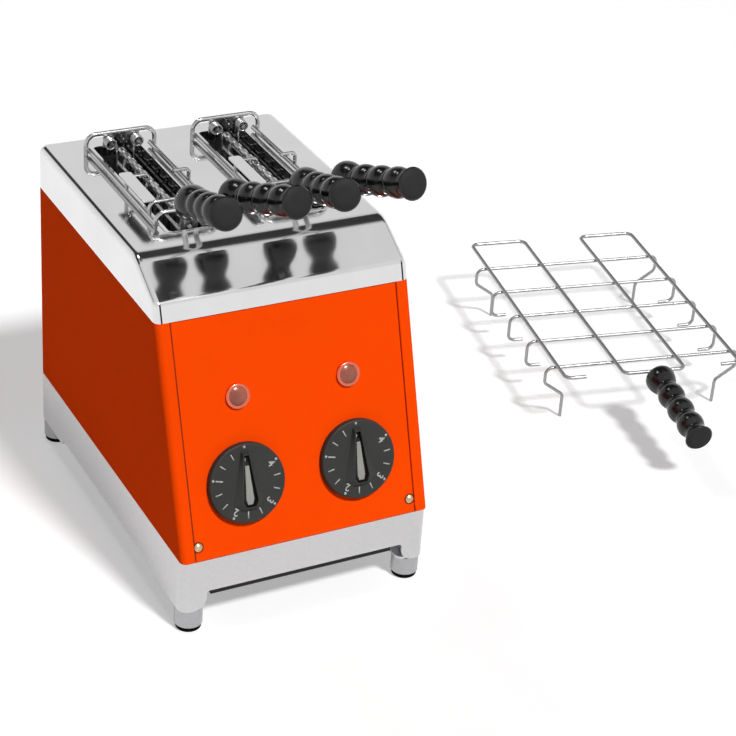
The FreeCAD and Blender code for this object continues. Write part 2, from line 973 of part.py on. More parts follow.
def grip():
    """A low mound on the knob's face with a tapered pocket for the pointer strip."""
    low = knob_face - grip_sink
    high = low + grip_height
    rim = pocket_rim
    foot = pointer_outline(grip_tip, grip_tip_half, grip_heel, grip_half_width, low)
    crest = pointer_outline(pocket_tip + rim, pocket_tip_half + rim, pocket_heel + rim,
                            pocket_half_width + rim, high)
    mound = Part.makeLoft([Part.makePolygon(p + p[:1]) for p in (foot, crest)], True, True)
    floor = pointer_outline(pocket_tip, pocket_tip_half, pocket_heel, pocket_half_width,
                            pocket_floor)
    return mound, prism(floor, [0] * 6, Vec(0, 0, pocket_depth + 1))


def timer_knob(u):
    low, high = knob_low, knob_face
    edge = knob_edge
    up = Vec(0, 0, 1)
    points = [
        (low, 0), (low, knob_radius), (high - edge, knob_radius - knob_taper),
        (high, knob_radius - knob_taper - edge), (high, 0),
    ]
    arc_middle = (high - 0.3 * edge, knob_radius - knob_taper - 0.3 * edge)
    mound, pocket = grip()
    knob = join([turned(points, {2: arc_middle}, Vec(0, 0, 0), up), mound]).cut(pocket)
    recess = cylinder(knob_recess_radius, Vec(0, 0, low), up, knob_skirt - knob_recess_wall)
    hub_low = panel_back + timer_bush_length + seat_gap
    hub = cylinder(knob_hub_radius, Vec(0, 0, hub_low), up, knob_skirt)
    knob = knob.cut(recess.cut(hub))
    depth = pocket_floor - bore_cover - low
    knob = knob.cut(cylinder(shaft_radius + bore_fit, Vec(0, 0, low), up, depth))
    knob.translate(Vec(u, timer_v, 0))
    return on_panel(knob)


def pointer_strip(u):
    """The light strip on the floor of the grip's pocket."""
    outline = pointer_outline(strip_tip, strip_tip_half, strip_heel, strip_half_width,
                              pocket_floor)
    shape = prism(outline, [0] * 6, Vec(0, 0, strip_height))
    shape.translate(Vec(u, timer_v, 0))
    return on_panel(shape)


def timer_shaft(u):
    low = panel_inner - shaft_engagement + seat_gap
    high = pocket_floor - bore_cover - slip_gap
    return on_panel(cylinder(shaft_radius, Vec(u, timer_v, low), Vec(0, 0, 1), high - low))


def make_knobs():
    for name, side in (("left", -1), ("right", 1)):
        save(name + "_timer_knob", timer_knob(side * timer_u))
        save(name + "_timer_pointer", pointer_strip(side * timer_u))
        save(name + "_timer_shaft", timer_shaft(side * timer_u))


def make_lamps():
    bezels = []
    lenses = []
    bodies = []
    axis = Vec(0, 0, 1)
    for side in (-1, 1):
        seat = Vec(side * lamp_u, lamp_v, panel_back)
        inner = lens_radius + bore_fit
        edge = 0.9
        points = [
            (0, inner), (0, bezel_radius), (bezel_height - edge, bezel_radius),
            (bezel_height, bezel_radius - edge), (bezel_height, inner + 0.5),
            (bezel_height - 0.5, inner),
        ]
        arc_middle = (bezel_height - 0.3 * edge, bezel_radius - 0.3 * edge)
        bezels.append(on_panel(turned(points, {2: arc_middle}, seat, axis)))
        rim = bezel_height - 0.6
        dome = dome_middle(rim, lens_radius, rim + lens_dome)
        lens = turned([(0, 0), (0, lens_radius), (rim, lens_radius), (rim + lens_dome, 0)],
                      {2: dome}, seat, axis)
        lenses.append(on_panel(lens))
        nut_top = panel_inner - panel_back
        nut_low = nut_top - lamp_nut_height
        points = [
            (-lamp_body_length, 0), (-lamp_body_length, lamp_body_radius),
            (nut_low, lamp_body_radius), (nut_low, lamp_nut_radius),
            (nut_top, lamp_nut_radius), (nut_top, lamp_body_radius),
            (0, lamp_body_radius), (0, 0),
        ]
        bodies.append(on_panel(turned(points, {}, seat, axis)))
    save("lamp_bezels", *bezels)
    save("lamp_lenses", *lenses)
    save("lamp_bodies", *bodies)


# Mains connection

def make_terminals():
    wide, deep, tall = terminal_size
    floor = pan_floor + pan_sheet
    block = box(-wide / 2, wide / 2, terminal_y, terminal_y + deep, floor, floor + tall)
    ways = 4
    for i in range(ways):
        x = -wide / 2 + wide * (i + 0.5) / ways
        block = block.cut(cylinder(1.8, Vec(x, terminal_y - 1, floor + 6), Vec(0, 1, 0), 8))
        block = block.cut(cylinder(2.2, Vec(x, terminal_y + 6, floor + tall - 6),
                                   Vec(0, 0, 1), 10))
    save("terminal_block", block)


def make_gland():
    face = back_y
    inner = back_y - plinth_sheet - slip_gap - pan_sheet
    axis = Vec(0, 1, 0)
    length = face - inner + gland_nut_length
    body = cylinder(gland_radius, Vec(gland_x, face - length, gland_z), axis, length)
    head = turned(
        [(0, 0), (0, gland_head_radius), (gland_head_rim, gland_head_radius),
         (gland_head_length, gland_radius), (gland_head_length, 0)],
        {}, Vec(gland_x, face, gland_z), axis,
    )
    bore = cylinder(gland_bore_radius, Vec(gland_x, face - 30, gland_z), axis, 60)
    save("cable_gland", join([body, head]).cut(bore))
    hole = gland_radius + bore_fit
    points = [(0, hole), (0, gland_head_radius), (gland_nut_length, gland_head_radius),
              (gland_nut_length, hole)]
    save("gland_nut", turned(points, {}, Vec(gland_x, inner, gland_z), Vec(0, -1, 0)))


# Clamps, drawn with their height measured from the cover's top

def clamp_rod(points, radius, bend):
    return rod([Vec(*p) for p in points], radius, bend)


def hoop(x, y, height, foot, radius, bend):
    points = [(-x, y, foot), (-x, y, height), (x, y, height), (x, y, foot)]
    return clamp_rod(points, radius, bend)


def hinge_eye(y, top):
    """An eye for the hinge rod, hung from a hoop by a short post."""
    length = hinge_boss_length
    start = Vec(0, y - length / 2, hinge_height)
    boss = cylinder(hinge_boss_radius, start, Vec(0, 1, 0), length)
    post = cylinder(hinge_radius, Vec(0, y, hinge_height), Vec(0, 0, 1),
                    top - hinge_height)
    bore = cylinder(hinge_radius + bore_fit, start - Vec(0, 5, 0), Vec(0, 1, 0), 20)
    return join([boss, post]).cut(bore)


def clamp_frame():
    rails = []
    for side in (-1, 1):
        start = Vec(side * rail_x, rail_front_y, rail_height)
        rails.append(cylinder(rail_radius, start, Vec(0, 1, 0), arch_y + 1 - rail_front_y))
    back = hoop(arch_x, arch_y, arch_height, seat_gap, arch_radius, arch_bend)
    front = hoop(rail_x, front_arch_y, front_arch_height, seat_gap, arch_radius, arch_bend)
    bridge = hoop(rail_x, bridge_y, bridge_height, rail_height, bridge_radius, bridge_bend)
    hook = clamp_rod(
        [(-rail_x, hook_y, rail_height), (-rail_x, hook_y, bridge_height),
         (hook_reach, hook_y, bridge_height),
         (hook_reach, hook_y, bridge_height - hook_drop)],
        bridge_radius, hook_bend,
    )
    short_hook = clamp_rod(
        [(rail_x, hook_y, rail_height), (rail_x, hook_y, bridge_height),
         (short_hook_reach, hook_y, bridge_height)],
        bridge_radius, hook_bend,
    )
    bar_y = arch_y - arch_radius - 0.2
    bar = box(-back_bar_half, back_bar_half, bar_y, bar_y + back_bar_sheet,
              back_bar_low, arch_height)
    hole_start = Vec(0, bar_y - 5, stop_height)
    bar = bar.cut(cylinder(stop_stud_radius + bore_fit, hole_start, Vec(0, 1, 0), 20))
    studs = [
        cylinder(spring_stud_radius, Vec(side * spring_stud_x, bar_y, stop_height),
                 Vec(0, -1, 0), spring_turns * spring_pitch + spring_wire + 1)
        for side in (-1, 1)
    ]
    eyes = [hinge_eye(front_arch_y, front_arch_height), hinge_eye(hinge_back_y, arch_height)]
    wires = rails + [back, front, bridge, hook, short_hook]
    return join(wires + [bar] + studs + eyes), bar_y


def hinge_rod():
    start = front_arch_y - hinge_boss_length / 2 - hinge_stick_out
    end = hinge_back_y + hinge_boss_length / 2 + hinge_stick_out
    return cylinder(hinge_radius, Vec(0, start, hinge_height), Vec(0, 1, 0), end - start)


def stop_button(bar_y):
    """A moulded button on the back bar, with its stud through the bar."""
    r = stop_radius
    stud = stop_stud_radius
    points = [(-back_bar_sheet - 1, 0), (-back_bar_sheet - 1, stud), (0, stud),
              (0, 0.75 * r), (button_flare, r), (button_height, 0)]
    arcs = {3: (0.4 * button_flare, 0.93 * r), 4: dome_middle(button_flare, r, button_height)}
    return turned(points, arcs, Vec(0, bar_y, stop_height), Vec(0, -1, 0))


def arc_from(start, tangent, end):
    """The arc that leaves start along tangent and reaches end."""
    chord = end - start
    along = Vec(chord).normalize()
    side = tangent - along * tangent.dot(along)
    bow = chord.Length / 2 * math.tan(tangent.getAngle(chord) / 2)
    middle = start + chord * 0.5 + side.normalize() * bow
    return Part.Arc(start, middle, end).toShape()


def biarc(p0, t0, p1, t1):
    """Two arcs that meet smoothly between two points with given tangents."""
    chord = p1 - p0
    both = t0 + t1
    slack = 2 * (1 - t0.dot(t1))
    reach = (-chord.dot(both) + math.sqrt(chord.dot(both) ** 2 + slack * chord.dot(chord)))
    reach = reach / slack
    joint = (p0 + p1) * 0.5 + (t0 - t1) * (reach / 2)
    return [arc_from(p0, t0, joint), arc_from(joint, far_tangent(joint, p0, t0), p1)]


def far_tangent(joint, start, tangent):
    """The tangent at the far end of the arc that leaves start along tangent."""
    along = (joint - start).normalize()
    return along * (2 * along.dot(tangent)) - tangent


def torsion_spring(side, bar_y):
    """A coil on its stud, one leg down beside the jaw and one up under the hoop."""
    centre = Vec(side * spring_stud_x, 0, stop_height)
    first_y = bar_y - spring_wire / 2 - 0.3
    total = spring_turns * 2 * math.pi + math.pi
    rise = spring_pitch / (2 * math.pi)

    def at(angle):
        return centre + Vec(side * spring_radius * math.cos(angle), first_y - rise * angle,
                            spring_radius * math.sin(angle))

    def heading(angle):
        return Vec(-side * spring_radius * math.sin(angle), -rise,
                   spring_radius * math.cos(angle)).normalize()

    steps = int(round(total / (math.pi / 2)))
    edges = [Part.makeLine(at(0) - heading(0) * spring_leg_rise, at(0))]
    for i in range(steps):
        a, b = i * total / steps, (i + 1) * total / steps
        edges += biarc(at(a), heading(a), at(b), heading(b))
    edges.append(Part.makeLine(at(total), at(total) + heading(total) * spring_leg_drop))
    start = at(0) - heading(0) * spring_leg_rise
    section = Part.Wire(Part.makeCircle(spring_wire / 2, start, heading(0)))
    return Part.Wire(edges).makePipeShell([section], True, False)


def report_spring_gap():
    """Print the least clear distance between neighbouring turns, found on points."""
    points = []
    per_turn = 48
    for i in range(spring_turns * per_turn + 1):
        angle = 2 * math.pi * i / per_turn
        points.append(Vec(spring_radius * math.cos(angle), spring_pitch * i / per_turn,
                          spring_radius * math.sin(angle)))
    least = min(
        (points[i] - points[j]).Length
        for i in range(len(points))
        for j in range(i + per_turn // 2, len(points))
    )
    print("clamp spring: least gap between turns", round(least - spring_wire, 2), "mm")


def thumb_plate():
    """The flat plate welded on the left ends of the bridge and the hook wire."""
    top = bridge_height + bridge_radius
    x0 = -rail_x - thumb_width / 2 - 0.4
    y0 = bridge_y - 2
    return rounded_block(x0, x0 + thumb_width, y0, y0 + thumb_length,
                         top + bore_fit, top + bore_fit + thumb_sheet, thumb_corner)


def stem_route(side):
    """The wire from one jaw to the handle on the other side; the two cross apart."""
    s = side
    if side < 0:
        rise = [(s * 4.4, -21, 7), (s * 3.5, -33, 28), (-s * 3, -42, 33)]
    else:
        rise = [(s * 4.4, -21, 7), (s * 3.5, -40, 22), (-s * 3, -48, 29)]
    start, end = handle_ends(-side)
    along = (end - start).normalize()
    route = [Vec(s * jaw_x, jaw_front_y + 6, jaw_top)]
    route.append(Vec(s * jaw_x, jaw_front_y - 9, jaw_top))
    route += [Vec(*p) for p in rise]
    route += [start - along * stem_lead, start + along * stem_depth]
    return route


def handle_ends(side):
    start = Vec(side * handle_splay, handle_start_y, handle_start_height)
    end = Vec(side * handle_end_x, handle_end_y, handle_end_height)
    return start, end


def jaw(side):
    """One wire grid with its hinge knuckles and the stem of its handle."""
    up = Vec(0, 0, 1)
    along = Vec(0, 1, 0)
    pitch = (jaw_back_y - jaw_front_y) / (jaw_wires - 1)
    pieces = []
    hinge = Vec(0, 0, hinge_height)
    for i in range(jaw_wires):
        y = jaw_front_y + i * pitch
        points = [(side * jaw_x, y, jaw_top), (side * jaw_x, y, jaw_bottom + jaw_toe),
                  (side * jaw_foot_x, y, jaw_bottom)]
        if i % 2 == (0 if side < 0 else 1):
            points.insert(0, (side * hinge_radius, y, hinge_height))
            start = hinge + Vec(0, y - knuckle_length / 2, 0)
            pieces.append(cylinder(knuckle_radius, start, along, knuckle_length))
        pieces.append(clamp_rod(points, jaw_wire_radius, jaw_wire_bend))
    length = jaw_back_y - jaw_front_y
    bars = [(jaw_x, jaw_top), (jaw_foot_x, jaw_bottom)]
    bars += [(jaw_x + jaw_bar_outset, height) for height in jaw_bar_heights]
    for x, height in bars:
        start = Vec(side * x, jaw_front_y, height)
        radius = jaw_wire_radius if x == jaw_foot_x else jaw_bar_radius
        pieces.append(cylinder(radius, start, along, length))
    pieces.append(rod(stem_route(side), stem_radius, stem_bend))
    grid = join(pieces)
    bore = cylinder(hinge_radius + running_fit, Vec(0, jaw_front_y - 10, hinge_height),
                    along, length + 20)
    return grid.cut(bore)


def crown_middle(peak, end):
    """Middle point of the arc that leaves a peak along the axis and falls to its end."""
    run, fall = end[0] - peak[0], peak[1] - end[1]
    radius = (run * run + fall * fall) / (2 * fall)
    half = math.asin(run / radius) / 2
    return (peak[0] + radius * math.sin(half), peak[1] - radius * (1 - math.cos(half)))


def handle(start, direction):
    """A turned handle: a round nose, a row of beads with hollow necks, a flared end."""
    half = neck_half_length
    shoulder = neck_radius + (bead_radius - neck_radius) * half / (bead_pitch / 2)
    peak = (nose_peak, nose_radius)
    points = [(0, 0), (0, nose_flat), peak, (nose_length - half, shoulder)]
    arcs = {1: (0.3 * nose_peak, nose_flat + 0.72 * (nose_radius - nose_flat)),
            2: crown_middle(peak, points[3])}
    for i in range(handle_beads + 1):
        neck = nose_length + i * bead_pitch
        if i > 0:
            arcs[len(points) - 1] = (neck - bead_pitch / 2, bead_radius)
            points.append((neck - half, shoulder))
        arcs[len(points) - 1] = (neck, neck_radius)
        points.append((neck + half, shoulder))
    points.append((handle_length - cap_edge, handle_cap_radius))
    points.append((handle_length, handle_cap_radius - cap_edge))
    points.append((handle_length, 0))
    body = turned(points, arcs, start, direction)
    return body.cut(cylinder(stem_radius + bore_fit, start - direction * 5, direction,
                             stem_depth + 5 + seat_gap))


def make_clamps():
    frame, bar_y = clamp_frame()
    rod_piece = hinge_rod()
    button = stop_button(bar_y)
    springs = [torsion_spring(side, bar_y) for side in (-1, 1)]
    plate = thumb_plate()
    jaws = {"left": jaw(-1), "right": jaw(1)}
    handles = {}
    for name, side in (("right", 1), ("left", -1)):
        start, end = handle_ends(side)
        handles[name] = handle(start, (end - start).normalize())
    report_spring_gap()
    for name, side in (("left", -1), ("right", 1)):
        shift = Vec(side * slot_x, 0, cover_top)

        def put(shape):
            return shape.translated(shift)

        save(name + "_clamp_frame", put(frame))
        save(name + "_clamp_hinge_rod", put(rod_piece))
        save(name + "_clamp_stop_button", put(button))
        save(name + "_clamp_springs", *[put(s) for s in springs])
        save(name + "_clamp_thumb_plate", put(plate))
        for jaw_name, grid in jaws.items():
            save(name + "_clamp_" + jaw_name + "_jaw", put(grid))
        for handle_name, grip_piece in handles.items():
            save(name + "_clamp_" + handle_name + "_handle", put(grip_piece))


# Warming rack

def rack_cross_wire(w, is_leg):
    z = rack_top - rack_wire_radius - rack_cross_radius - weld_gap
    reach = rack_outer + rack_cross_reach
    if is_leg:
        end = [Vec(reach, w, rack_leg_knee), Vec(rack_leg_x, w, rack_leg_ankle),
               Vec(rack_leg_x, w, 0)]
    else:
        end = [Vec(reach, w, rack_j_height), Vec(reach - rack_j_length, w, rack_j_height)]
    right = [Vec(reach, w, z)] + end
    left = [Vec(-p.x, p.y, p.z) for p in reversed(right)]
    return rod(left + right, rack_cross_radius, rack_bend)


def make_rack():
    front, back = -rack_back, rack_back
    hook = rack_outer - rack_hook
    z = rack_top
    half_route = [
        Vec(hook, front, z), Vec(rack_outer, front, z), Vec(rack_outer, back, z),
        Vec(rack_inner, back, z), Vec(rack_inner, rack_handle_front, z),
    ]
    mirrored = [Vec(-p.x, p.y, p.z) for p in reversed(half_route)]
    loop = rod(half_route + mirrored, rack_wire_radius, rack_bend)
    dip = math.radians(rack_handle_dip)
    direction = Vec(0, -math.cos(dip), -math.sin(dip))
    start = Vec(0, rack_handle_front, z)
    lead = rack_wire_radius + rack_handle_lead
    wires = [join([loop, cylinder(stem_radius, start, direction, stem_depth + lead)])]
    for i in range(rack_cross_count):
        w = rack_cross_first + i * rack_cross_pitch
        wires.append(rack_cross_wire(w, i in (0, rack_cross_count - 1)))
    grip_piece = handle(start + direction * lead, direction)
    turn = FreeCAD.Placement(Vec(rack_x, rack_y, 0), FreeCAD.Rotation(Vec(0, 0, 1), rack_turn))
    for piece in wires + [grip_piece]:
        piece.Placement = turn.multiply(piece.Placement)
    save("rack_wires", *wires)
    save("rack_handle", grip_piece)


os.makedirs("parts", exist_ok=True)
make_cover()
make_shells()
make_front_panel()
make_back_panel()
make_panel_fixings()
make_plinth()
make_pan()
make_feet()
make_tray()
make_runners()
make_chamber()
make_guards()
make_heaters()
make_timers()
make_knobs()
make_lamps()
make_terminals()
make_gland()
make_clamps()
make_rack()
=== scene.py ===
import json
import math

import bmesh
import bpy
from mathutils import Matrix, Vector


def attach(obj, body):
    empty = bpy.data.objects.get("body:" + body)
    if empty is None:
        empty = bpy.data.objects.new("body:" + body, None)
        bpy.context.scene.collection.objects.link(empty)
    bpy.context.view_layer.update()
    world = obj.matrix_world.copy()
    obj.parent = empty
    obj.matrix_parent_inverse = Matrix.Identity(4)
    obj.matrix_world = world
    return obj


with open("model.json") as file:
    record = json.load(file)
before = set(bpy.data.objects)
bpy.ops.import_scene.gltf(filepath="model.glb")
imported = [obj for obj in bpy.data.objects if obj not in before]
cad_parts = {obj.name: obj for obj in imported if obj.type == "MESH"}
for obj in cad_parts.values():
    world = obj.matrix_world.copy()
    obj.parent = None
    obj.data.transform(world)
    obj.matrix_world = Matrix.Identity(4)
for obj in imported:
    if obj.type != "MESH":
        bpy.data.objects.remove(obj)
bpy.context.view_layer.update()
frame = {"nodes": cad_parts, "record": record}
nodes = frame["nodes"]

# Sizes repeated from the part's source, in metres
body_front = -0.150
front_setback = 0.0566
plinth_top = 0.062
band_bottom = 0.229
cover_top = 0.263
slot_x = 0.044
knob_u = 0.0447
knob_v = 0.0510
knob_face = 0.0039
panel_face = -0.0012
window_half = 0.0895
lip_slit_u = 0.0950
screw_u = 0.0857
screw_v = 0.0105
pocket_floor = 0.0052
dial_step = math.radians(25.0)
handle_length = 0.0915
clamp_handle_start = (0.0155, -0.055, 0.037)
clamp_handle_end = (0.0265, -0.143, 0.0695)
rack_middle = (0.4156, 0.1022, 0)
rack_turn = math.radians(-10.9)
rack_handle_bend = (0, -0.1278, 0.0526)
rack_handle_dip = math.radians(5.0)
rack_handle_gap = 0.0056

# Sizes of the printed marks, the painted shade strips, sheets and shadow rings, and the end discs,
# in metres
print_depth = 0.00012
dot_ring = 0.0272
tick_inner = 0.0208
tick_outer = 0.0260
tick_half_width = 0.00045
number_ring = 0.0222
number_size = 0.0080
pocket_shade_rise = 0.00015
strip_rise = 0.00006
seam_shade_end_gap = 0.0005
seam_shade_width = {-1: 0.0014, 1: 0.0006}  # left and right
lip_slit_shade_half_width = 0.0006
lip_slit_shade_length = 0.0135
screw_shadow_inner = 0.0031
screw_shadow_outer = 0.0041
screw_shadow_rise = 0.0002
disc_radius = 0.0107
disc_bevel = 0.0002

panel_rise = band_bottom - plinth_top
panel_length = math.hypot(front_setback, panel_rise)
panel_sin = front_setback / panel_length
panel_cos = panel_rise / panel_length


def panel_matrix(u, v, n):
    """Axes on the sloping front: u right, v up the slope, n outward."""
    place = Matrix.Identity(4)
    place.col[0] = (1, 0, 0, 0)
    place.col[1] = (0, panel_sin, panel_cos, 0)
    place.col[2] = (0, -panel_cos, panel_sin, 0)
    y = body_front + v * panel_sin - n * panel_cos
    z = plinth_top + v * panel_cos + n * panel_sin
    place.col[3] = (u, y, z, 1)
    return place


# Materials

def material(name):
    mat = bpy.data.materials.new(name)
    mat.use_nodes = True
    tree = mat.node_tree
    return mat, tree, tree.nodes["Principled BSDF"]


def set_inputs(shader, **values):
    names = {
        "color": "Base Color",
        "metal": "Metallic",
        "rough": "Roughness",
        "ior": "IOR",
        "transmission": "Transmission Weight",
        "spec": "Specular IOR Level",
    }
    for key, value in values.items():
        if key == "color":
            value = (*value, 1.0)
        shader.inputs[names[key]].default_value = value


def coordinates(tree, stretch):
    """Object coordinates scaled on each axis, so grain can run along one of them."""
    coord = tree.nodes.new("ShaderNodeTexCoord")
    mapping = tree.nodes.new("ShaderNodeMapping")
    mapping.inputs["Scale"].default_value = stretch
    tree.links.new(coord.outputs["Object"], mapping.inputs["Vector"])
    return mapping.outputs["Vector"]


def noise(tree, vector, scale, detail=4.0, rough=0.55):
    node = tree.nodes.new("ShaderNodeTexNoise")
    node.inputs["Scale"].default_value = scale
    node.inputs["Detail"].default_value = detail
    node.inputs["Roughness"].default_value = rough
    tree.links.new(vector, node.inputs["Vector"])
    return node.outputs["Fac"]


def spread(tree, value, low, high, start=0.3, end=0.7):
    node = tree.nodes.new("ShaderNodeMapRange")
    node.inputs["From Min"].default_value = start
    node.inputs["From Max"].default_value = end
    node.inputs["To Min"].default_value = low
    node.inputs["To Max"].default_value = high
    tree.links.new(value, node.inputs["Value"])
    return node.outputs["Result"]


def two_tones(tree, value, dark, light, start=0.35, end=0.65):
    node = tree.nodes.new("ShaderNodeValToRGB")
    node.color_ramp.elements[0].position = start
    node.color_ramp.elements[0].color = (*dark, 1)
    node.color_ramp.elements[1].position = end
    node.color_ramp.elements[1].color = (*light, 1)
    tree.links.new(value, node.inputs["Fac"])
    return node.outputs["Color"]


def bump(tree, shader, height, distance, strength=1.0):
    node = tree.nodes.new("ShaderNodeBump")
    node.inputs["Distance"].default_value = distance
    node.inputs["Strength"].default_value = strength
    tree.links.new(height, node.inputs["Height"])
    tree.links.new(node.outputs["Normal"], shader.inputs["Normal"])


def polished_chrome(name, tone, low_rough, high_rough, waviness):
    mat, tree, shader = material(name)
    set_inputs(shader, color=tone, metal=1.0)
    smear = noise(tree, coordinates(tree, (1, 1, 1)), 22.0, 6.0)
    tree.links.new(spread(tree, smear, low_rough, high_rough), shader.inputs["Roughness"])
    dark = [0.94 * c for c in tone]
    tree.links.new(two_tones(tree, smear, dark, tone), shader.inputs["Base Color"])
    wave = noise(tree, coordinates(tree, (1, 1, 1)), 9.0, 1.0)
    bump(tree, shader, wave, waviness)
    return mat


def brushed_metal(name, tone, rough, stretch, grain=0.00002):
    """Metal whose fine grain runs along the axis with the small stretch."""
    mat, tree, shader = material(name)
    set_inputs(shader, metal=1.0, rough=rough)
    vector = coordinates(tree, stretch)
    streaks = noise(tree, vector, 60.0, 8.0, 0.7)
    dark = [0.82 * c for c in tone]
    tree.links.new(two_tones(tree, streaks, dark, tone), shader.inputs["Base Color"])
    tree.links.new(spread(tree, streaks, rough + 0.06, rough - 0.06), shader.inputs["Roughness"])
    bump(tree, shader, streaks, grain)
    return mat


def enamel(name, tone):
    mat, tree, shader = material(name)
    set_inputs(shader, rough=0.34, spec=0.0, metal=0.02)
    vector = coordinates(tree, (1, 1, 1))
    cloud = noise(tree, vector, 6.0, 3.0)
    dark = [0.93 * c for c in tone]
    tree.links.new(two_tones(tree, cloud, dark, tone, 0.2, 0.6), shader.inputs["Base Color"])
    peel = noise(tree, vector, 700.0, 2.0)
    tree.links.new(spread(tree, peel, 0.30, 0.38), shader.inputs["Roughness"])
    bump(tree, shader, peel, 0.00004, 0.5)
    return mat


def gloss_plastic(name, tone, rough, spec=0.5):
    mat, tree, shader = material(name)
    set_inputs(shader, rough=rough, spec=spec)
    vector = coordinates(tree, (1, 1, 1))
    flow = noise(tree, vector, 70.0, 3.0)
    lighter = [1.5 * c + 0.003 for c in tone]
    tree.links.new(two_tones(tree, flow, tone, lighter), shader.inputs["Base Color"])
    tree.links.new(spread(tree, flow, rough - 0.03, rough + 0.05), shader.inputs["Roughness"])
    bump(tree, shader, flow, 0.00012, 0.5)
    return mat


def matte_plastic(name, tone, rough, grain_scale=1500.0, depth=0.00005, spec=0.25):
    mat, tree, shader = material(name)
    set_inputs(shader, rough=rough, spec=spec)
    vector = coordinates(tree, (1, 1, 1))
    cloud = noise(tree, vector, 30.0, 5.0)
    dark = [0.85 * c for c in tone]
    tree.links.new(two_tones(tree, cloud, dark, tone), shader.inputs["Base Color"])
    grain = noise(tree, vector, grain_scale, 2.0)
    tree.links.new(spread(tree, grain, rough - 0.08, rough + 0.08), shader.inputs["Roughness"])
    bump(tree, shader, grain, depth, 0.7)
    return mat


def galvanised(name, tone):
    mat, tree, shader = material(name)
    set_inputs(shader, metal=1.0)
    vector = coordinates(tree, (1, 1, 1))
    cells = tree.nodes.new("ShaderNodeTexVoronoi")
    cells.inputs["Scale"].default_value = 140.0
    tree.links.new(vector, cells.inputs["Vector"])
    dark = [0.7 * c for c in tone]
    flakes = two_tones(tree, cells.outputs["Color"], dark, tone, 0.1, 0.9)
    tree.links.new(flakes, shader.inputs["Base Color"])
    smear = noise(tree, vector, 35.0, 5.0)
    tree.links.new(spread(tree, smear, 0.3, 0.5), shader.inputs["Roughness"])
    bump(tree, shader, smear, 0.00005, 0.5)
    return mat


def frosted_glass(name, tone, rough):
    mat, tree, shader = material(name)
    set_inputs(shader, color=tone, rough=rough, ior=1.46, transmission=0.85)
    vector = coordinates(tree, (1, 0.15, 1))
    streaks = noise(tree, vector, 240.0, 5.0)
    tree.links.new(spread(tree, streaks, rough - 0.1, rough + 0.15), shader.inputs["Roughness"])
    bump(tree, shader, streaks, 0.00005, 0.5)
    return mat


orange = (0.97, 0.068, 0.0015)
chrome_sheet = polished_chrome("polished_cover", (0.80, 0.80, 0.80), 0.07, 0.14, 0.00025)
chrome_wire = polished_chrome("bright_wire", (0.50, 0.50, 0.50), 0.12, 0.22, 0.0001)
jaw_wire = polished_chrome("satin_jaw_wire", (0.62, 0.62, 0.62), 0.30, 0.42, 0.0001)
# Guard wires near black: painted shade for the shade inside the slots
guard_wire_in_shade = polished_chrome("guard_wire_painted_shade", (0.20, 0.195, 0.19), 0.24, 0.36, 0.0001)
rack_wire = polished_chrome("drawn_rack_wire", (0.36, 0.36, 0.36), 0.24, 0.36, 0.0001)
paint = enamel("orange_enamel", orange)
side_grain = brushed_metal("satin_plinth", (0.66, 0.66, 0.665), 0.34, (3, 3, 60))
foot_steel = brushed_metal("turned_sleeve", (0.46, 0.46, 0.47), 0.36, (3, 3, 80))
plain_steel = galvanised("plain_sheet", (0.62, 0.63, 0.65))
# Reflector tone lowered: painted shade for the shade inside the slots
reflector_in_shade = polished_chrome("bright_reflector", (0.26, 0.26, 0.27), 0.2, 0.34, 0.0004)
drawn_steel = brushed_metal("drawn_steel", (0.6, 0.6, 0.6), 0.28, (60, 3, 60))
spring_steel = brushed_metal("spring_steel", (0.5, 0.5, 0.51), 0.26, (30, 30, 30))
screw_metal = brushed_metal("brassy_screw", (0.62, 0.47, 0.30), 0.3, (40, 40, 40))
handle_gloss = gloss_plastic("handle_black", (0.005, 0.005, 0.005), 0.17, 0.42)
disc_matte = matte_plastic("handle_disc", (0.027, 0.027, 0.027), 0.6, 900.0, spec=0.12)
knob_plastic = matte_plastic("knob_moulding", (0.031, 0.032, 0.029), 0.5)
# Glossy near-black for painted shade, in the knobs' pockets and over the cover's lip slits
painted_shade_gloss = gloss_plastic("black_painted_shade", (0.004, 0.004, 0.004), 0.25, 0.3)
pointer_plastic = matte_plastic("pointer_strip", (0.33, 0.325, 0.30), 0.42)
dial_print = matte_plastic("dial_print", (0.46, 0.48, 0.47), 0.5)
bezel_metal = polished_chrome("lamp_bezel", (0.72, 0.19, 0.12), 0.18, 0.28, 0.0001)
lamp_glass = gloss_plastic("lamp_lens", (0.24, 0.064, 0.036), 0.2)
# Dark orange matte: painted shade along the shell's seams, and painted shadow rings round the
# screws
painted_shade_matte = matte_plastic("seam_shadow", (0.20, 0.022, 0.003), 0.7, 900.0, spec=0.1)
# Near-black tray: its lip under the plinth's edge is painted shade, standing in for the shade
# under the body
tray_enamel = matte_plastic("tray_enamel", (0.012, 0.012, 0.013), 0.4, 600.0)
rubber = matte_plastic("foot_rubber", (0.005, 0.005, 0.005), 0.75, 700.0, 0.0001, spec=0.03)
black_moulding = matte_plastic("black_moulding", (0.022, 0.022, 0.023), 0.5)
ceramic = matte_plastic("white_ceramic", (0.80, 0.78, 0.74), 0.55, 900.0, 0.00008)
# Quartz tone lowered to mid grey: painted shade for the shade inside the slots
quartz_in_shade = frosted_glass("quartz_tube_painted_shade", (0.50, 0.50, 0.50), 0.35)
hot_wire = brushed_metal("resistance_wire", (0.30, 0.26, 0.24), 0.45, (20, 20, 20))

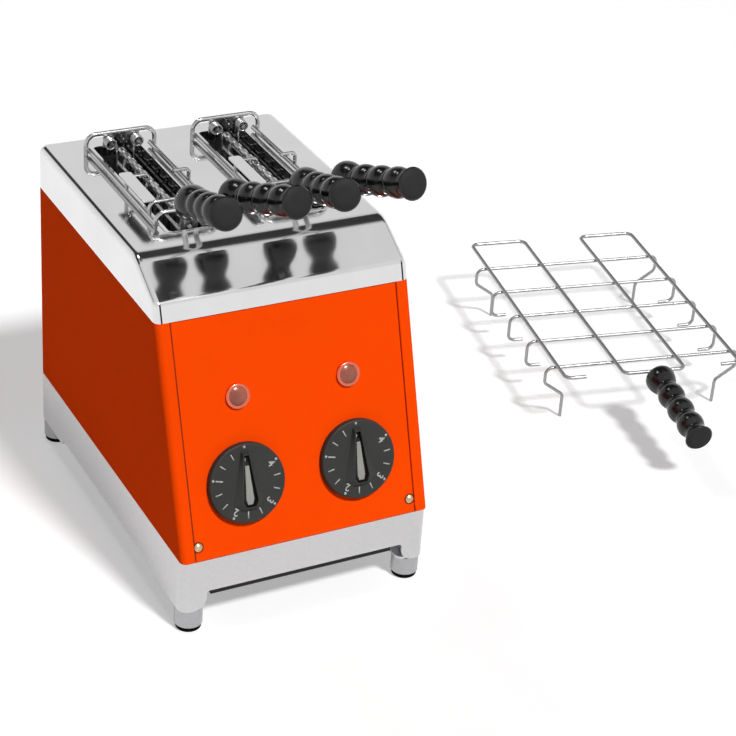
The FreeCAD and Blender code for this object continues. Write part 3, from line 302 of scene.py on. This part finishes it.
finish_of_slot = {
    "cover_chrome": chrome_sheet,
    "shell_paint": paint,
    "satin_steel": side_grain,
    "rubber_feet": rubber,
    "brassy_screws": screw_metal,
    "galvanised_steel": plain_steel,
    "tray_enamel": tray_enamel,
    "bright_reflector": reflector_in_shade,
    "chrome_wire": chrome_wire,
    "quartz_glass": quartz_in_shade,
    "heater_wire": hot_wire,
    "white_ceramic": ceramic,
    "black_moulding": black_moulding,
    "knob_moulding": knob_plastic,
    "pointer_grey": pointer_plastic,
    "shaft_steel": drawn_steel,
    "bezel_chrome": bezel_metal,
    "lamp_amber": lamp_glass,
    "handle_black": handle_gloss,
}
finish_of_node = {"foot_sleeves": foot_steel, "rack_wires": rack_wire}
for side in ("left", "right"):
    finish_of_node[side + "_slot_guards"] = guard_wire_in_shade
    finish_of_node[side + "_clamp_springs"] = spring_steel
    for piece in ("hinge_rod", "left_jaw", "right_jaw"):
        finish_of_node[f"{side}_clamp_{piece}"] = jaw_wire


def dress(obj, mat):
    obj.data.materials.clear()
    obj.data.materials.append(mat)


for part in frame["record"]["subparts"]:
    node = part["node"]
    dress(nodes[node], finish_of_node.get(node, finish_of_slot[part["material_slot"]]))


# New pieces

def add_mesh(name, mesh_maker, mat, body):
    work = bmesh.new()
    mesh_maker(work)
    bmesh.ops.recalc_face_normals(work, faces=work.faces)
    mesh = bpy.data.meshes.new(name)
    work.to_mesh(mesh)
    work.free()
    for polygon in mesh.polygons:
        polygon.use_smooth = True
    obj = bpy.data.objects.new(name, mesh)
    bpy.context.scene.collection.objects.link(obj)
    dress(obj, mat)
    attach(obj, body)


def lathe(work, outline, place, steps=96):
    """Turns an outline of (along, radius) pairs round the place's z axis."""
    rings = []
    for along, radius in outline:
        if radius < 1e-7:
            rings.append([work.verts.new(place @ Vector((0, 0, along)))])
            continue
        ring = []
        for i in range(steps):
            turn = 2 * math.pi * i / steps
            point = Vector((radius * math.cos(turn), radius * math.sin(turn), along))
            ring.append(work.verts.new(place @ point))
        rings.append(ring)
    for a, b in zip(rings, rings[1:]):
        for i in range(steps):
            j = (i + 1) % steps
            corners = [a[i % len(a)], a[j % len(a)], b[j % len(b)], b[i % len(b)]]
            kept = list(dict.fromkeys(corners))
            if len(kept) > 2:
                work.faces.new(kept)


def axis_place(start, direction):
    turn = Vector((0, 0, 1)).rotation_difference(direction.normalized())
    return Matrix.Translation(start) @ turn.to_matrix().to_4x4()


# Marks on the timer dials

def dial_place(u, radius, turn, n):
    """A place on a knob's face, at a radius and a turn from the panel's right."""
    return panel_matrix(u + radius * math.cos(turn), knob_v + radius * math.sin(turn), n)


def dial_marks(work, u):
    """A dot at the zero and outside each number, and two ticks between neighbours."""
    for step in range(13):
        turn = math.pi / 2 + dial_step * step
        if step % 3:
            tick(work, u, turn)
            continue
        place = dial_place(u, dot_ring, turn, knob_face)
        lathe(work, [(0, 0.001), (print_depth, 0.00096), (0.00016, 0)], place, 24)


def tick(work, u, turn):
    out = Vector((math.cos(turn), math.sin(turn)))
    across = Vector((-out.y, out.x)) * tick_half_width
    corners = []
    for radius, side in ((tick_inner, -1), (tick_outer, -1), (tick_outer, 1), (tick_inner, 1)):
        flat = out * radius + across * side
        corners.append((u + flat.x, knob_v + flat.y))
    low = [work.verts.new(panel_matrix(x, y, knob_face).translation) for x, y in corners]
    top = knob_face + print_depth
    high = [work.verts.new(panel_matrix(x, y, top).translation) for x, y in corners]
    work.faces.new(high)
    for i in range(4):
        j = (i + 1) % 4
        work.faces.new([low[i], low[j], high[j], high[i]])


def dial_number(name, text, u, turn, body):
    curve = bpy.data.curves.new(name, "FONT")
    curve.body = text
    curve.size = number_size
    curve.extrude = print_depth / 2
    curve.offset = 0.0001
    curve.align_x = "CENTER"
    curve.align_y = "CENTER"
    obj = bpy.data.objects.new(name, curve)
    bpy.context.scene.collection.objects.link(obj)
    place = dial_place(u, number_ring, turn, knob_face + print_depth / 2)
    spin = Matrix.Rotation(turn - math.pi / 2, 4, "Z")
    obj.matrix_world = place @ spin
    obj.data.materials.append(dial_print)
    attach(obj, body)


def pointer_outline(tip, tip_half, heel, half):
    """A tapered outline that points up the panel."""
    return [
        (-tip_half, tip), (tip_half, tip), (half, -0.75 * heel), (0.6 * half, -heel),
        (-0.6 * half, -heel), (-half, -0.75 * heel),
    ]


def pocket_liner(work, u):
    """Painted shade: a glossy black sheet on the pocket's floor round the pointer strip, for the
    shade in the pocket.
    """
    strip_edge = pointer_outline(0.0136, 0.00145, 0.01545, 0.00305)
    pocket_edge = pointer_outline(0.0213, 0.0017, 0.0171, 0.0055)
    rings = []
    for outline, rise in ((strip_edge, pocket_shade_rise), (pocket_edge, pocket_shade_rise), (pocket_edge, 0)):
        rings.append([
            work.verts.new(panel_matrix(u + x, knob_v + y, pocket_floor + rise).translation)
            for x, y in outline
        ])
    for inner, outer in zip(rings, rings[1:]):
        for i in range(len(inner)):
            j = (i + 1) % len(inner)
            work.faces.new([inner[i], outer[i], outer[j], inner[j]])


for name, side in (("left", -1), ("right", 1)):
    u = side * knob_u
    body = name + "_timer"
    add_mesh(name + "_pocket_liner", lambda w, u=u: pocket_liner(w, u), painted_shade_gloss, body)
    add_mesh(name + "_dial_marks", lambda w, u=u: dial_marks(w, u), dial_print, body)
    for number in range(1, 5):
        turn = math.pi / 2 + 3 * dial_step * number
        dial_number(f"{name}_dial_{number}", str(number), u, turn, body)


# Painted shade: dark strips beside the shell's edges and over the cover's slits, and painted
# shadow rings round the screws

def front_strip(work, near, far, low, high, rise):
    """A flat strip of painted shade that lies on the sloping front."""
    corners = ((near, low), (far, low), (far, high), (near, high))
    work.faces.new([
        work.verts.new(panel_matrix(u, v, rise + strip_rise).translation) for u, v in corners
    ])


def seam_line(work, side):
    """A thin band of painted shade on the panel beside the shell's edge."""
    near = side * (window_half - 0.00005)
    far = side * (window_half - seam_shade_width[side])
    front_strip(work, near, far, seam_shade_end_gap, panel_length - seam_shade_end_gap, panel_face)


def lip_seam(work, side):
    """A strip of painted shade over the slit where the cover's front lip meets its side, wider
    than the slit.
    """
    near = side * lip_slit_u - lip_slit_shade_half_width
    far = side * lip_slit_u + lip_slit_shade_half_width
    front_strip(work, near, far, panel_length, panel_length + lip_slit_shade_length, 0.0)


# A painted shadow ring round the screw's head on the panel.
def screw_ring(work, side):
    place = panel_matrix(side * screw_u, screw_v, panel_face)
    outline = [
        (0.0, screw_shadow_inner), (screw_shadow_rise, screw_shadow_inner),
        (screw_shadow_rise, screw_shadow_outer), (0.0, screw_shadow_outer),
    ]
    lathe(work, outline, place, 40)


for name, side in (("left", -1), ("right", 1)):
    add_mesh(name + "_seam_line", lambda w, side=side: seam_line(w, side), painted_shade_matte, "base")
    add_mesh(name + "_lip_seam", lambda w, side=side: lip_seam(w, side), painted_shade_gloss, "base")
    add_mesh(name + "_screw_ring", lambda w, side=side: screw_ring(w, side), painted_shade_matte, "base")


# Flat discs let into the handles' ends

def end_disc(work, start, direction):
    place = axis_place(start + direction * handle_length, direction)
    r = disc_radius
    lathe(work, [(0.0, r), (0.00025, r - disc_bevel), (0.0002, r * 0.5), (0.00018, 0)], place)


def clamp_handle_axis(side):
    """Where a clamp's handle starts and its direction, from the middle of its slot."""
    start, end = (
        Vector((side * x, y, cover_top + z)) for x, y, z in (clamp_handle_start, clamp_handle_end)
    )
    return start, (end - start).normalized()


for name, clamp_side in (("left", -1), ("right", 1)):
    for handle, side in (("left", -1), ("right", 1)):
        start, direction = clamp_handle_axis(side)
        start = start + Vector((clamp_side * slot_x, 0, 0))
        other = "right" if handle == "left" else "left"
        add_mesh(
            f"{name}_clamp_{handle}_end_disc",
            lambda w, s=start, d=direction: end_disc(w, s, d),
            disc_matte, f"{name}_clamp_{other}_jaw",
        )

rack_place = Matrix.Translation(rack_middle) @ Matrix.Rotation(rack_turn, 4, "Z")
rack_direction = Vector((0, -math.cos(rack_handle_dip), -math.sin(rack_handle_dip)))
rack_start = Vector(rack_handle_bend) + rack_direction * rack_handle_gap
turned_direction = rack_place.to_3x3() @ rack_direction
add_mesh(
    "rack_handle_end_disc",
    lambda w: end_disc(w, rack_place @ rack_start, turned_direction),
    disc_matte, "rack",
)


# Floor, light and camera

floor_tone = 0.66
floor_glow = 0.41
floor_half = 8.0
ambient = 0.06
unlit = 0.04


def direct_view(tree):
    """One where a surface is seen, mirrored or seen through glass, zero where it gives light."""
    path = tree.nodes.new("ShaderNodeLightPath")
    value = path.outputs["Is Camera Ray"]
    for ray in ("Is Glossy Ray", "Is Transmission Ray"):
        both = tree.nodes.new("ShaderNodeMath")
        both.operation = "MAXIMUM"
        tree.links.new(value, both.inputs[0])
        tree.links.new(path.outputs[ray], both.inputs[1])
        value = both.outputs[0]
    return value


def pale_floor():
    """A matte floor that shows white where light falls and pale grey in shadow."""
    mat, tree, shader = material("pale_floor")
    set_inputs(shader, color=[floor_tone] * 3, rough=0.9, spec=0.0)
    glow = tree.nodes.new("ShaderNodeEmission")
    level = tree.nodes.new("ShaderNodeMath")
    level.operation = "MULTIPLY"
    level.inputs[1].default_value = floor_glow
    tree.links.new(direct_view(tree), level.inputs[0])
    tree.links.new(level.outputs[0], glow.inputs["Strength"])
    total = tree.nodes.new("ShaderNodeAddShader")
    tree.links.new(shader.outputs[0], total.inputs[0])
    tree.links.new(glow.outputs[0], total.inputs[1])
    tree.links.new(total.outputs[0], tree.nodes["Material Output"].inputs["Surface"])
    return mat


def add_floor():
    mesh = bpy.data.meshes.new("floor")
    h = floor_half
    mesh.from_pydata([(-h, -h, 0), (h, -h, 0), (h, h, 0), (-h, h, 0)], [], [(0, 1, 2, 3)])
    floor = bpy.data.objects.new("floor", mesh)
    bpy.context.scene.collection.objects.link(floor)
    dress(floor, pale_floor())


def brightness_by_height(tree, height, stops):
    """Grey levels of the studio from below (0) over the horizon (0.5) to overhead (1)."""
    ramp = tree.nodes.new("ShaderNodeValToRGB")
    while len(ramp.color_ramp.elements) < len(stops):
        ramp.color_ramp.elements.new(0.5)
    for element, (place, level) in zip(ramp.color_ramp.elements, stops):
        element.position = place
        element.color = (level, level, level, 1)
    tree.links.new(height, ramp.inputs["Fac"])
    return ramp.outputs["Color"]


def blend_floats(tree, factor, low, high):
    node = tree.nodes.new("ShaderNodeMix")
    node.data_type = "FLOAT"
    for socket, value in zip(("Factor", "A", "B"), (factor, low, high)):
        if isinstance(value, float):
            node.inputs[socket].default_value = value
        else:
            tree.links.new(value, node.inputs[socket])
    return node.outputs["Result"]


def gate(tree, value, start, end, level):
    """The level where the value is past a soft edge from start to end, else zero."""
    return blend_floats(tree, spread(tree, value, 0.0, 1.0, start, end), 0.0, level)


def add_world():
    """A white studio, with a dark gap below its overhead light and a dark flag at the back."""
    world = bpy.data.worlds.new("studio")
    bpy.context.scene.world = world
    world.use_nodes = True
    tree = world.node_tree
    back = tree.nodes["Background"]
    coord = tree.nodes.new("ShaderNodeTexCoord")
    axes = tree.nodes.new("ShaderNodeSeparateXYZ")
    tree.links.new(coord.outputs["Generated"], axes.inputs[0])
    height = spread(tree, axes.outputs["Z"], 0.0, 1.0, -1.0, 1.0)
    rear = brightness_by_height(tree, height, [
        (0.50, 1.0), (0.62, 0.90), (0.74, 0.76), (0.785, 0.66), (0.80, unlit),
        (0.945, unlit), (0.955, 0.70), (1.0, 0.78),
    ])
    front = brightness_by_height(tree, height, [
        (0.50, 1.0), (0.56, 0.95), (0.70, 0.80), (0.90, 0.74), (1.0, 0.78),
    ])
    flag = spread(tree, axes.outputs["X"], 1.0, 0.0, 0.19, 0.25)
    flag = gate(tree, axes.outputs["X"], -0.24, -0.18, flag)
    flag = gate(tree, height, 0.70, 0.72, flag)
    rear = blend_floats(tree, flag, rear, unlit)
    side = spread(tree, axes.outputs["Y"], 0.0, 1.0, 0.14, 0.20)
    mirrored = blend_floats(tree, side, front, rear)
    path = tree.nodes.new("ShaderNodeLightPath")
    level = blend_floats(tree, path.outputs["Is Glossy Ray"], ambient, mirrored)
    level = blend_floats(tree, path.outputs["Is Transmission Ray"], level, 1.0)
    level = blend_floats(tree, path.outputs["Is Camera Ray"], level, 1.0)
    tree.links.new(level, back.inputs["Strength"])
    back.inputs["Color"].default_value = (1, 1, 1, 1)


def add_glint(place, aim, size, power):
    """A small lamp behind, for the highlights on the handles' beads."""
    light = bpy.data.lights.new("glint", "AREA")
    light.shape = "DISK"
    light.size = size
    light.energy = power
    obj = bpy.data.objects.new("glint", light)
    bpy.context.scene.collection.objects.link(obj)
    obj.location = place
    direction = Vector(aim) - Vector(place)
    obj.rotation_euler = direction.to_track_quat("-Z", "Y").to_euler()


def add_sun(toward, strength, angle):
    """The main light, from the front, the right and high up."""
    light = bpy.data.lights.new("sun", "SUN")
    light.energy = strength
    light.angle = math.radians(angle)
    obj = bpy.data.objects.new("sun", light)
    bpy.context.scene.collection.objects.link(obj)
    obj.rotation_euler = (-Vector(toward)).to_track_quat("-Z", "Y").to_euler()


def add_camera():
    """A camera that shows the target at its own pixel, at fitted angles and distance."""
    azimuth, elevation, roll = (math.radians(a) for a in (29.136, 29.89, 4.202))
    picture, focal, distance = 736.0, 2128.0, 1.64396
    target, target_pixel, centre = Vector((0, 0, 0.120)), (228.09, 371.86), picture / 2
    forward = Vector((
        math.sin(azimuth) * math.cos(elevation),
        math.cos(azimuth) * math.cos(elevation),
        -math.sin(elevation),
    ))
    level = Vector((math.cos(azimuth), -math.sin(azimuth), 0))
    raised = level.cross(forward)
    right = level * math.cos(roll) + raised * math.sin(roll)
    up = raised * math.cos(roll) - level * math.sin(roll)
    x = (target_pixel[0] - centre) / focal * distance
    y = -(target_pixel[1] - centre) / focal * distance
    place = target - forward * distance - right * x - up * y
    camera = bpy.data.cameras.new("camera")
    camera.sensor_width = 36.0
    camera.lens = camera.sensor_width * focal / picture
    camera.clip_start = 0.05
    camera.clip_end = 60.0
    obj = bpy.data.objects.new("camera", camera)
    bpy.context.scene.collection.objects.link(obj)
    matrix = Matrix.Identity(4)
    for i, axis in enumerate((right, up, -forward)):
        matrix.col[i] = (*axis, 0)
    matrix.col[3] = (*place, 1)
    obj.matrix_world = matrix
    bpy.context.scene.camera = obj


add_floor()
add_world()
add_sun(toward=(0.15, -0.58, 0.80), strength=3.05, angle=8.0)
add_glint(place=(-0.19, 0.70, 1.57), aim=(0.05, 0, 0.2), size=0.28, power=3.2)
add_camera()
bpy.context.scene.view_settings.view_transform = "Standard"
